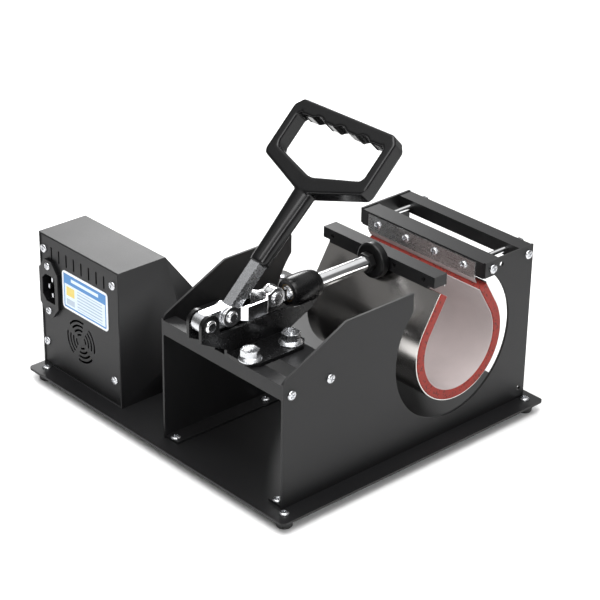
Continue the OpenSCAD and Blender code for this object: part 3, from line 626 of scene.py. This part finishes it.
def mat_layer(name, slot, inner, outer, x_span, edge):
    """One layer of the mat between two lines of points."""
    bm = bmesh.new()
    rows = []
    for x in x_span:
        rows.append([[bm.verts.new((x, p.x, p.y)) for p in line] for line in (inner, outer)])
    (in_a, out_a), (in_b, out_b) = rows
    last = len(inner) - 1
    for i in range(last):
        for ring in ((in_a[i], in_b[i], in_b[i + 1], in_a[i + 1]),
                     (out_a[i], out_a[i + 1], out_b[i + 1], out_b[i]),
                     (in_a[i], in_a[i + 1], out_a[i + 1], out_a[i]),
                     (in_b[i], out_b[i], out_b[i + 1], in_b[i + 1])):
            bm.faces.new(ring)
    for i in (0, last):
        bm.faces.new((in_a[i], out_a[i], out_b[i], in_b[i]))
    piece = linked(name, to_mesh(bm), slot)
    bevelled(piece, edge, 3, 50)
    return piece


def bends_with_bar(piece, node):
    """Bakes the piece's placement into its mesh and hides the mechanical part it stands for."""
    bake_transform(piece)
    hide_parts(node)


def build_mat():
    """Steel band, silicone pad and lining round the mug seat, and the tail at the fixed strip."""
    s = sizes()
    low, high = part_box("mat_silicone_pad")
    pad_in = SEAT_RADIUS + s.lining
    pad_out = pad_in + s.pad
    band_out = SEAT_CENTRE.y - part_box("mat_steel_band")[0].y
    inset = 0.8 * MM
    spread = (low.x, high.x)
    narrow = (low.x + inset, high.x - inset)
    layers = [
        ("mat_band", "mirror_steel", "mat_steel_band", pad_out, band_out, narrow, 0.2 * MM),
        ("mat_pad", "silicone", "mat_silicone_pad", pad_in, pad_out, spread, 0.9 * MM),
        ("mat_cloth", "lining", "mat_liner", SEAT_RADIUS, pad_in, narrow, 0.3 * MM),
    ]
    for name, slot, node, inner, outer, x_span, edge in layers:
        piece = mat_layer(name, slot, mat_line(inner), mat_line(outer), x_span, edge)
        bends_with_bar(piece, node)
    middle = pad_in + 0.45 * s.pad
    hang_tail(mat_line(middle)[0])


def hang_tail(corner):
    """Grey sheet that hangs from the fixed strip and is bonded into the end of the pad."""
    low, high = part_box("mat_clamp_strip")
    top = Vector((low.y - 0.1 * MM, low.z + 4 * MM))
    knee = Vector((low.y + 0.9 * MM, low.z - 0.5 * MM))
    inner = [top + (knee - top) * k / 3 for k in range(3)]
    inner += [knee + (corner - knee) * k / 6 for k in range(7)]
    shift = Vector((-1.0 * MM, -0.25 * MM))
    outer = [p + shift for p in inner]
    tail = mat_layer("mat_tail", "lining", inner, outer, (low.x, high.x), 0.2 * MM)
    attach(tail, "press")


# ---------------------------------------------------------------- grip

# Distance up the lever, half width and half thickness of the sleeve, in mm
SLEEVE = [(43.5, 6.4, 5.9), (44.5, 7.4, 6.7), (47, 7.5, 6.8), (60, 7.6, 6.7), (80, 8.2, 6.7),
          (104, 9.2, 6.7), (113, 8.2, 6.0)]
SLEEVE_SIDES = 48
# Thickness of the loop's sides and of its upper bar, in mm
LOOP_SIDE = 7.8
LOOP_BAR = 9


def lever_frame():
    """Turns grip sketches (across, up the lever, forwards) into place."""
    tilt = sizes().lever_tilt
    along = Vector((0, -math.cos(tilt), math.sin(tilt)))
    across = Vector((1, 0, 0))
    turn = Matrix((across, along, across.cross(along))).transposed().to_4x4()
    turn.translation = LEVER_PIVOT
    return turn


def loop_outlines():
    """Outside and opening of the loop, in the lever's plane."""
    s = sizes()
    half = s.loop_width / 2 / MM
    height = s.loop_height / MM
    base = s.loop_start
    top = base + s.loop_height
    right = [(7.9, 0), (half - 2, 15), (half, 19), (half, height - 7), (half - 6, height)]
    outside = right + [(-w, h) for w, h in reversed(right)]
    outside = filleted([(w * MM, base + h * MM) for w, h in outside], 5 * MM)
    arm = half - LOOP_SIDE
    under = height - LOOP_BAR
    left = [(-3, 12.3), (1.5 - arm, 24), (-arm, 28), (-arm, under - 4), (4 - arm, under)]
    side = [Vector((w * MM, base + h * MM)) for w, h in left]
    mirrored = [Vector((-p.x, p.y)) for p in reversed(side)]
    opening = side + finger_bumps(top - LOOP_BAR * MM) + mirrored
    return outside, filleted(opening, 3.5 * MM)


def finger_bumps(height, pitch=24 * MM, depth=5.4 * MM, reach=11.2 * MM):
    """Points of the four bumps along the top of the opening, left to right."""
    points = []
    for i in range(4):
        middle = (i - 1.5) * pitch
        for k in range(13):
            t = k / 12
            lift = depth * (0.5 - 0.5 * math.cos(2 * math.pi * t))
            points.append(Vector((middle + (2 * t - 1) * reach, height - lift)))
    return points


def power(value, exponent=0.8):
    """Signed power that squares off an oval."""
    return math.copysign(abs(value) ** exponent, value)


def build_grip():
    """Moulded grip: a sleeve on the lever that swells into a loop, fused and smoothed."""
    s = sizes()
    outside, opening = loop_outlines()
    plate = slab([outside, opening], -s.loop_depth / 2, s.loop_depth / 2)
    loop = linked("grip_loop", to_mesh(plate), "grip_black")
    bevelled(loop, s.grip_round, 4, 50)
    bm = bmesh.new()
    bm.from_mesh(loop.data)
    bpy.data.objects.remove(loop)
    rings = []
    angles = [2 * math.pi * k / SLEEVE_SIDES for k in range(SLEEVE_SIDES)]
    for along, half_w, half_n in SLEEVE:
        oval = [(half_w * power(math.cos(a)), half_n * power(math.sin(a))) for a in angles]
        rings.append([bm.verts.new((p[0] * MM, along * MM, p[1] * MM)) for p in oval])
    for first, second in zip(rings, rings[1:]):
        for i in range(len(first)):
            bm.faces.new((first[i - 1], first[i], second[i], second[i - 1]))
    bm.faces.new(rings[0])
    bm.faces.new(rings[-1])
    grip = linked("hand_grip", to_mesh(bm), "grip_black")
    fuse = grip.modifiers.new("Fuse", "REMESH")
    fuse.mode = "VOXEL"
    fuse.voxel_size = s.grip_voxel
    relax = grip.modifiers.new("Relax", "SMOOTH")
    relax.iterations = 5
    relax.factor = 0.5
    settled(grip)
    grip.data.transform(lever_frame())
    grip.data.shade_smooth()
    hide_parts("handle_grip")
    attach(grip, "handle")


# ---------------------------------------------------------------- repeated screws

# Profile of a pan head as shares of its radius and height, from the foot of its shank up
DOME = [(0.0, -0.3), (0.55, -0.3), (0.55, 0.0), (0.96, 0.0), (1.0, 0.08), (1.0, 0.34),
        (0.94, 0.60), (0.78, 0.82), (0.52, 0.95), (0.0, 1.0)]
RECESS_LONG = 1.15
RECESS_WIDE = 0.24
RECESS_LIFT = 0.98
FIRST_SEED = 3


def screw_head(name, radius, height):
    """A pan head with a cross recess, standing on +Z."""
    dome = [(r * radius, h * height) for r, h in DOME]
    head = linked(name, to_mesh(lathe(dome, (0, 0, 0), (0, 0, 1), 32)), "zinc")
    bm = bmesh.new()
    for wide, deep in ((RECESS_LONG, RECESS_WIDE), (RECESS_WIDE, RECESS_LONG)):
        made = bmesh.ops.create_cube(bm, size=1)
        bmesh.ops.scale(bm, verts=made["verts"], vec=(wide * radius, deep * radius, height))
        bmesh.ops.translate(bm, verts=made["verts"], vec=(0, 0, RECESS_LIFT * height))
    cutter = linked(name + "_cutter", to_mesh(bm), "zinc")
    cut = head.modifiers.new("Recess", "BOOLEAN")
    cut.object = cutter
    cut.solver = "EXACT"
    cut.use_self = True
    settled(head)
    bpy.data.objects.remove(cutter)
    smooth(head.data, 35)
    return head


def scatter_tree():
    """Geometry Nodes that set one head on each point, facing one way and turned at random."""
    tree = bpy.data.node_groups.new("Set screws", "GeometryNodeTree")
    sockets = {"Geometry": "Geometry", "Head": "Object", "Facing": "Vector", "Turn": "Float",
               "Seed": "Int", "Finish": "Material"}
    for name, kind in sockets.items():
        tree.interface.new_socket(name, in_out="INPUT", socket_type="NodeSocket" + kind)
    tree.interface.new_socket("Geometry", in_out="OUTPUT", socket_type="NodeSocketGeometry")

    def add(kind, **links):
        made = tree.nodes.new(kind)
        for key, source in links.items():
            tree.links.new(source, made.inputs[key.replace("_", " ")])
        return made

    given = add("NodeGroupInput").outputs
    head = add("GeometryNodeObjectInfo", Object=given["Head"])
    facing = add("FunctionNodeAlignRotationToVector", Vector=given["Facing"])
    facing.axis = "Z"
    chance = add("FunctionNodeRandomValue", Seed=given["Seed"])
    chance.data_type = "FLOAT"
    spread = tree.nodes.new("ShaderNodeMath")
    spread.operation = "MULTIPLY"
    number = next(o for o in chance.outputs if o.enabled and o.type == "VALUE")
    tree.links.new(number, spread.inputs[0])
    tree.links.new(given["Turn"], spread.inputs[1])
    spin = add("FunctionNodeAxisAngleToRotation", Angle=spread.outputs[0])
    spin.inputs["Axis"].default_value = (0, 0, 1)
    turned = tree.nodes.new("FunctionNodeRotateRotation")
    turned.rotation_space = "LOCAL"
    tree.links.new(facing.outputs[0], turned.inputs[0])
    tree.links.new(spin.outputs[0], turned.inputs[1])
    placed = add("GeometryNodeInstanceOnPoints", Points=given["Geometry"],
                 Instance=head.outputs["Geometry"], Rotation=turned.outputs[0])
    real = add("GeometryNodeRealizeInstances", Geometry=placed.outputs[0])
    painted = add("GeometryNodeSetMaterial", Geometry=real.outputs[0], Material=given["Finish"])
    add("NodeGroupOutput", Geometry=painted.outputs[0])
    return tree


def set_screws(tree, name, points, facing, radius, height, body, seed, nodes):
    """Sets a head on every point and makes one piece of them."""
    head = screw_head(name + "_pattern", radius, height)
    mesh = bpy.data.meshes.new(name)
    mesh.from_pydata([tuple(p) for p in points], [], [])
    piece = bpy.data.objects.new(name, mesh)
    bpy.context.scene.collection.objects.link(piece)
    modifier = piece.modifiers.new("Set screws", "NODES")
    modifier.node_group = tree
    values = {"Head": head, "Facing": facing, "Turn": math.pi, "Seed": seed,
              "Finish": MATERIALS["zinc"]}
    for item in tree.interface.items_tree:
        if item.in_out == "INPUT" and item.name in values:
            modifier[item.identifier] = values[item.name]
    settled(piece)
    bpy.data.objects.remove(head)
    smooth(piece.data, 35)
    if nodes:
        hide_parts(*nodes)
    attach(piece, body)


def seats(node, axis, sign, height, keep):
    """Seat of each screw of a node: the foot of its head on the given side."""
    found = []
    for low, high in islands(node):
        seat = (low + high) / 2
        if keep and not keep(seat):
            continue
        seat[axis] = (high if sign > 0 else low)[axis] - sign * height
        found.append(seat)
    return found


def build_screws():
    """Every pan head screw of the press, set by one node tree."""
    tree = scatter_tree()
    low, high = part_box("front_tie_bar")
    middle_x = (low.x + high.x) / 2

    def left(p):
        return p.x < middle_x

    def right(p):
        return p.x > middle_x

    # Node, axis and sense its screws face, radius and height of a head in mm, body, which ones
    groups = [
        ("base_screw_heads", "base_screws", 2, 1, 3.8, 1.9, "press", None),
        ("left_side_screw_heads", "side_screws", 0, -1, 3.9, 2.1, "press", left),
        ("right_side_screw_heads", "side_screws", 0, 1, 3.9, 2.1, "press", right),
        ("fixed_strip_screw_heads", "strip_screws", 1, 1, 3.3, 2.2, "press", None),
        ("moving_strip_screw_heads", "bar_strip_screws", 1, -1, 2.9, 1.6, "plunger", None),
        ("panel_screw_heads", "rear_panel_screws", 1, 1, 3.7, 1.9, "press", None),
        ("inlet_screw_heads", "inlet_screws", 1, 1, 3.2, 1.8, "press", None),
    ]
    for seed, (name, node, axis, sign, radius, height, body, keep) in enumerate(groups):
        facing = [0, 0, 0]
        facing[axis] = sign
        points = seats(node, axis, sign, height * MM, keep)
        stand = () if name.startswith("right") else (node,)
        set_screws(tree, name, points, facing, radius * MM, height * MM, body,
                   seed + FIRST_SEED, stand)


# ---------------------------------------------------------------- turned pieces

# Outside of the barrel as shares of its radius and length
BULGE = [(0.70, 0.0), (0.80, 0.02), (0.88, 0.07), (0.945, 0.17), (0.985, 0.30), (1.0, 0.45),
         (1.0, 0.60), (0.985, 0.74), (0.955, 0.86), (0.91, 0.95), (0.86, 0.99), (0.80, 1.0)]
DISC_BORE = 4.05 * MM
DISC_CORNER = 1.9 * MM
FOOT_BORE = 2.1 * MM
FOOT_RECESS = 3.9 * MM
FOOT_FLOOR = 3 * MM


def turned(name, node, profile, origin, axis, segments=72):
    """A lathe-turned piece that stands for a node."""
    piece = linked(name, to_mesh(lathe(profile, origin, axis, segments)), SLOTS[node])
    smooth(piece.data, 30)
    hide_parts(node)
    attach(piece, BODY_OF[node])


def ring_profile(bore, radius, depth, corner, steps=5):
    """Closed profile of a ring whose outer corners are round."""
    angles = [k * math.pi / 2 / steps for k in range(steps + 1)]
    low = [(radius - corner + corner * math.sin(a), corner - corner * math.cos(a)) for a in angles]
    high = [(r, depth - h) for r, h in reversed(low)]
    return [(bore, 0.0)] + low + high + [(bore, depth), (bore, 0.0)]


def build_turned():
    """Guide barrel, pressure disc and the rubber feet."""
    low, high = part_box("guide_barrel")
    radius = (high.x - low.x) / 2
    centre = (low + high) / 2
    depth = high.y - low.y
    bore = radius * 0.5 + 1.0 * MM
    side = [(radius * r, depth * h) for r, h in BULGE]
    shell = [(bore, 0.0)] + side + [(bore, depth), (bore, 0.0)]
    turned("barrel_shell", "guide_barrel", shell, (centre.x, low.y, centre.z), (0, 1, 0))
    low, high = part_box("pressure_disc")
    centre = (low + high) / 2
    radius = (high.x - low.x) / 2
    disc = ring_profile(DISC_BORE, radius, high.y - low.y, DISC_CORNER)
    turned("pressure_wheel", "pressure_disc", disc, (centre.x, low.y, centre.z), (0, 1, 0), 96)
    for number, (low, high) in enumerate(islands("rubber_feet")):
        centre = (low + high) / 2
        radius = (high.x - low.x) / 2
        foot = [(FOOT_RECESS, 0.0), (radius * 0.78, 0.0), (radius * 0.84, 0.5 * MM),
                (radius * 0.93, 4.5 * MM), (radius, 7.2 * MM), (radius, high.z),
                (FOOT_BORE, high.z), (FOOT_BORE, FOOT_FLOOR), (FOOT_RECESS, FOOT_FLOOR),
                (FOOT_RECESS, 0.0)]
        shape = lathe(foot, (centre.x, centre.y, 0), (0, 0, 1), 48)
        piece = linked(f"foot_{number + 1}", to_mesh(shape), "rubber")
        smooth(piece.data, 35)
        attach(piece, "press")
        if number == 0:
            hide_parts("rubber_feet")


# ---------------------------------------------------------------- stage

FLOOR_REACH = 6.0
# Name, place, target, size and power of each lamp
LAMPS = [
    ("overhead", (-0.15, 0.25, 1.6), (0, 0, 0.05), 1.5, 30),
    ("rear_left", (-1.6, 0.9, 0.9), (-0.05, 0, 0.12), 0.7, 12),
    ("right_softbox", (1.05, -0.72, 0.80), (0.10, 0.06, 0.13), 0.45, 9),
]
# Height on the sky's ramp and brightness there
SKY = [(0.0, 0.32), (0.25, 0.15), (0.57, 0.20), (0.72, 1.0)]


def build_stage():
    """Pale floor, soft lights and the camera."""
    mesh = bpy.data.meshes.new("floor")
    signs = ((-1, -1), (1, -1), (1, 1), (-1, 1))
    corners = [(x * FLOOR_REACH, y * FLOOR_REACH, 0) for x, y in signs]
    mesh.from_pydata(corners, [], [(0, 1, 2, 3)])
    floor = bpy.data.objects.new("floor", mesh)
    bpy.context.scene.collection.objects.link(floor)
    s = Shader("pale_floor")
    cloud = s.noise(3, 2)
    s.surface(Base_Color=s.mix(cloud, (0.86, 0.86, 0.86), (0.88, 0.88, 0.88)), Roughness=0.55)
    floor.data.materials.append(s.material)
    build_world()
    for lamp in LAMPS:
        area_light(*lamp)
    build_camera()


def build_world():
    """Soft white room, a little darker towards the horizon."""
    world = bpy.data.worlds.new("soft_room")
    world.use_nodes = True
    bpy.context.scene.world = world
    tree = world.node_tree
    tree.nodes.clear()
    place = tree.nodes.new("ShaderNodeTexCoord")
    split = tree.nodes.new("ShaderNodeSeparateXYZ")
    ramp = tree.nodes.new("ShaderNodeValToRGB")
    back = tree.nodes.new("ShaderNodeBackground")
    out = tree.nodes.new("ShaderNodeOutputWorld")
    while len(ramp.color_ramp.elements) < len(SKY):
        ramp.color_ramp.elements.new(1)
    for element, (position, level) in zip(ramp.color_ramp.elements, SKY):
        element.position = position
        element.color = (level, level, level, 1)
    back.inputs["Strength"].default_value = 1.0
    tree.links.new(place.outputs["Generated"], split.inputs[0])
    tree.links.new(split.outputs[2], ramp.inputs[0])
    tree.links.new(ramp.outputs[0], back.inputs[0])
    tree.links.new(back.outputs[0], out.inputs[0])
    bpy.context.scene.view_settings.view_transform = "Standard"


def area_light(name, place, target, size, energy):
    """A square soft light that faces the target."""
    lamp = bpy.data.lights.new(name, "AREA")
    lamp.size = size
    lamp.energy = energy
    holder = bpy.data.objects.new(name, lamp)
    holder.location = place
    holder.rotation_euler = (Vector(target) - Vector(place)).to_track_quat("-Z", "Y").to_euler()
    bpy.context.scene.collection.objects.link(holder)


def build_camera():
    """Camera behind and to the left of the press, looking down at it."""
    azimuth, elevation, roll = math.radians(227.46), math.radians(26.80), math.radians(0.902)
    target = Vector((-0.0752, -0.0132, 0.0996))
    distance = 1.5979
    across, upwards = -0.0433, 0.0114
    level = math.cos(elevation)
    back = Vector((math.sin(azimuth) * level, -math.cos(azimuth) * level, math.sin(elevation)))
    right = (-back).cross(Vector((0, 0, 1))).normalized()
    up = right.cross(-back)
    right, up = (math.cos(roll) * right + math.sin(roll) * up,
                 -math.sin(roll) * right + math.cos(roll) * up)
    data = bpy.data.cameras.new("camera")
    data.lens = 123.73
    data.sensor_width = 36
    data.clip_end = 50
    camera = bpy.data.objects.new("camera", data)
    turn = Matrix((right, up, back)).transposed().to_4x4()
    turn.translation = target + back * distance + right * across + up * upwards
    camera.matrix_world = turn
    bpy.context.scene.collection.objects.link(camera)
    bpy.context.scene.camera = camera


# ---------------------------------------------------------------- operators


class PressOperator(bpy.types.Operator):
    """Shared form of the steps that build the press; edges are roundings in mm by node."""

    bl_options = {"REGISTER", "UNDO"}
    edges = {}

    def execute(self, context):
        for node, width in self.edges.items():
            softened(node, width * MM)
        self.extra()
        return {"FINISHED"}

    def extra(self):
        """What a step builds besides its softened parts."""


class PRESS_OT_stage(PressOperator):
    """Floor, lights and camera"""

    bl_idname = "press.stage"
    bl_label = "Stage"

    def extra(self):
        build_stage()


class PRESS_OT_finishes(PressOperator):
    """Every finish, and one for each mechanical part"""

    bl_idname = "press.finishes"
    bl_label = "Finishes"

    def extra(self):
        build_materials()


class PRESS_OT_sheet_metal(PressOperator):
    """Base plate, side plates and cross bars with rounded edges"""

    bl_idname = "press.sheet_metal"
    bl_label = "Sheet metal"
    edges = {"base_plate": 0.4, "side_plate_left": 0.35, "side_plate_right": 0.35,
             "rear_cross_bar": 0.4, "front_cross_bar": 0.4}


class PRESS_OT_bars(PressOperator):
    """Bars, strips and rods round the mat"""

    bl_idname = "press.bars"
    bl_label = "Bars"
    edges = {"front_tie_bar": 0.7, "fixed_bar": 0.7, "moving_bar": 0.8, "mat_clamp_strip": 0.2,
             "bar_strip": 0.2, "rod_nuts": 0.4, "tie_rods": 0.4, "heater_terminal": 0.8}


class PRESS_OT_clamp(PressOperator):
    """Toggle clamp: bracket, links, lever, plunger and fasteners"""

    bl_idname = "press.clamp"
    bl_label = "Toggle clamp"
    edges = {"clamp_bracket_left": 0.5, "clamp_bracket_right": 0.5, "link_left": 0.4,
             "link_right": 0.4, "handle_lever": 0.5, "lock_nut": 0.5, "bar_boss": 0.15,
             "plunger_rod": 0.4, "base_rivet": 0.4, "lever_rivet": 0.4, "plunger_rivets": 0.35,
             "clamp_bolts": 0.5, "clamp_nuts": 0.5, "clamp_washers": 0.25}

    def extra(self):
        build_turned()


class PRESS_OT_mat(PressOperator):
    """Heating mat round the mug seat"""

    bl_idname = "press.mat"
    bl_label = "Heating mat"

    def extra(self):
        build_mat()


class PRESS_OT_grip(PressOperator):
    """Moulded grip with its loop"""

    bl_idname = "press.grip"
    bl_label = "Grip"

    def extra(self):
        build_grip()


class PRESS_OT_screws(PressOperator):
    """Pan head screws, set by one node tree"""

    bl_idname = "press.screws"
    bl_label = "Screws"

    def extra(self):
        build_screws()


class PRESS_OT_control_box(PressOperator):
    """Control box with its inlet, keys and switch"""

    bl_idname = "press.control_box"
    bl_label = "Control box"
    edges = {"control_case": 0.8, "front_panel": 0.2, "power_inlet": 0.5, "inlet_pins": 0.3,
             "heater_socket": 0.4, "set_key": 0.5, "up_key": 0.5, "down_key": 0.5, "start_key": 0.5,
             "switch_bezel": 0.5, "rocker_switch": 0.5, "rating_plate": 0.1, "display_module": 0.2,
             "controller_board": 0.3, "transformer": 0.6}


STEPS = (PRESS_OT_stage, PRESS_OT_finishes, PRESS_OT_sheet_metal, PRESS_OT_bars, PRESS_OT_clamp,
         PRESS_OT_mat, PRESS_OT_grip, PRESS_OT_screws, PRESS_OT_control_box)


class PRESS_PT_panel(bpy.types.Panel):
    """Sidebar panel that lists the steps"""

    bl_idname = "PRESS_PT_panel"
    bl_label = "Mug heat press"
    bl_space_type = "VIEW_3D"
    bl_region_type = "UI"
    bl_category = "Mug press"

    def draw(self, context):
        for step in STEPS:
            self.layout.operator(step.bl_idname)
        for group in (context.scene.press_finish, context.scene.press_sizes):
            for name in group.__annotations__:
                self.layout.prop(group, name)


CLASSES = (PressFinish, PressSizes, *STEPS, PRESS_PT_panel)


def register():
    for kind in CLASSES:
        bpy.utils.register_class(kind)
    bpy.types.Scene.press_finish = bpy.props.PointerProperty(type=PressFinish)
    bpy.types.Scene.press_sizes = bpy.props.PointerProperty(type=PressSizes)


def unregister():
    del bpy.types.Scene.press_sizes
    del bpy.types.Scene.press_finish
    for kind in reversed(CLASSES):
        bpy.utils.unregister_class(kind)


def main():
    register()
    for step in STEPS:
        family, name = step.bl_idname.split(".")
        getattr(getattr(bpy.ops, family), name)()


if __name__ == "__main__":
    main()
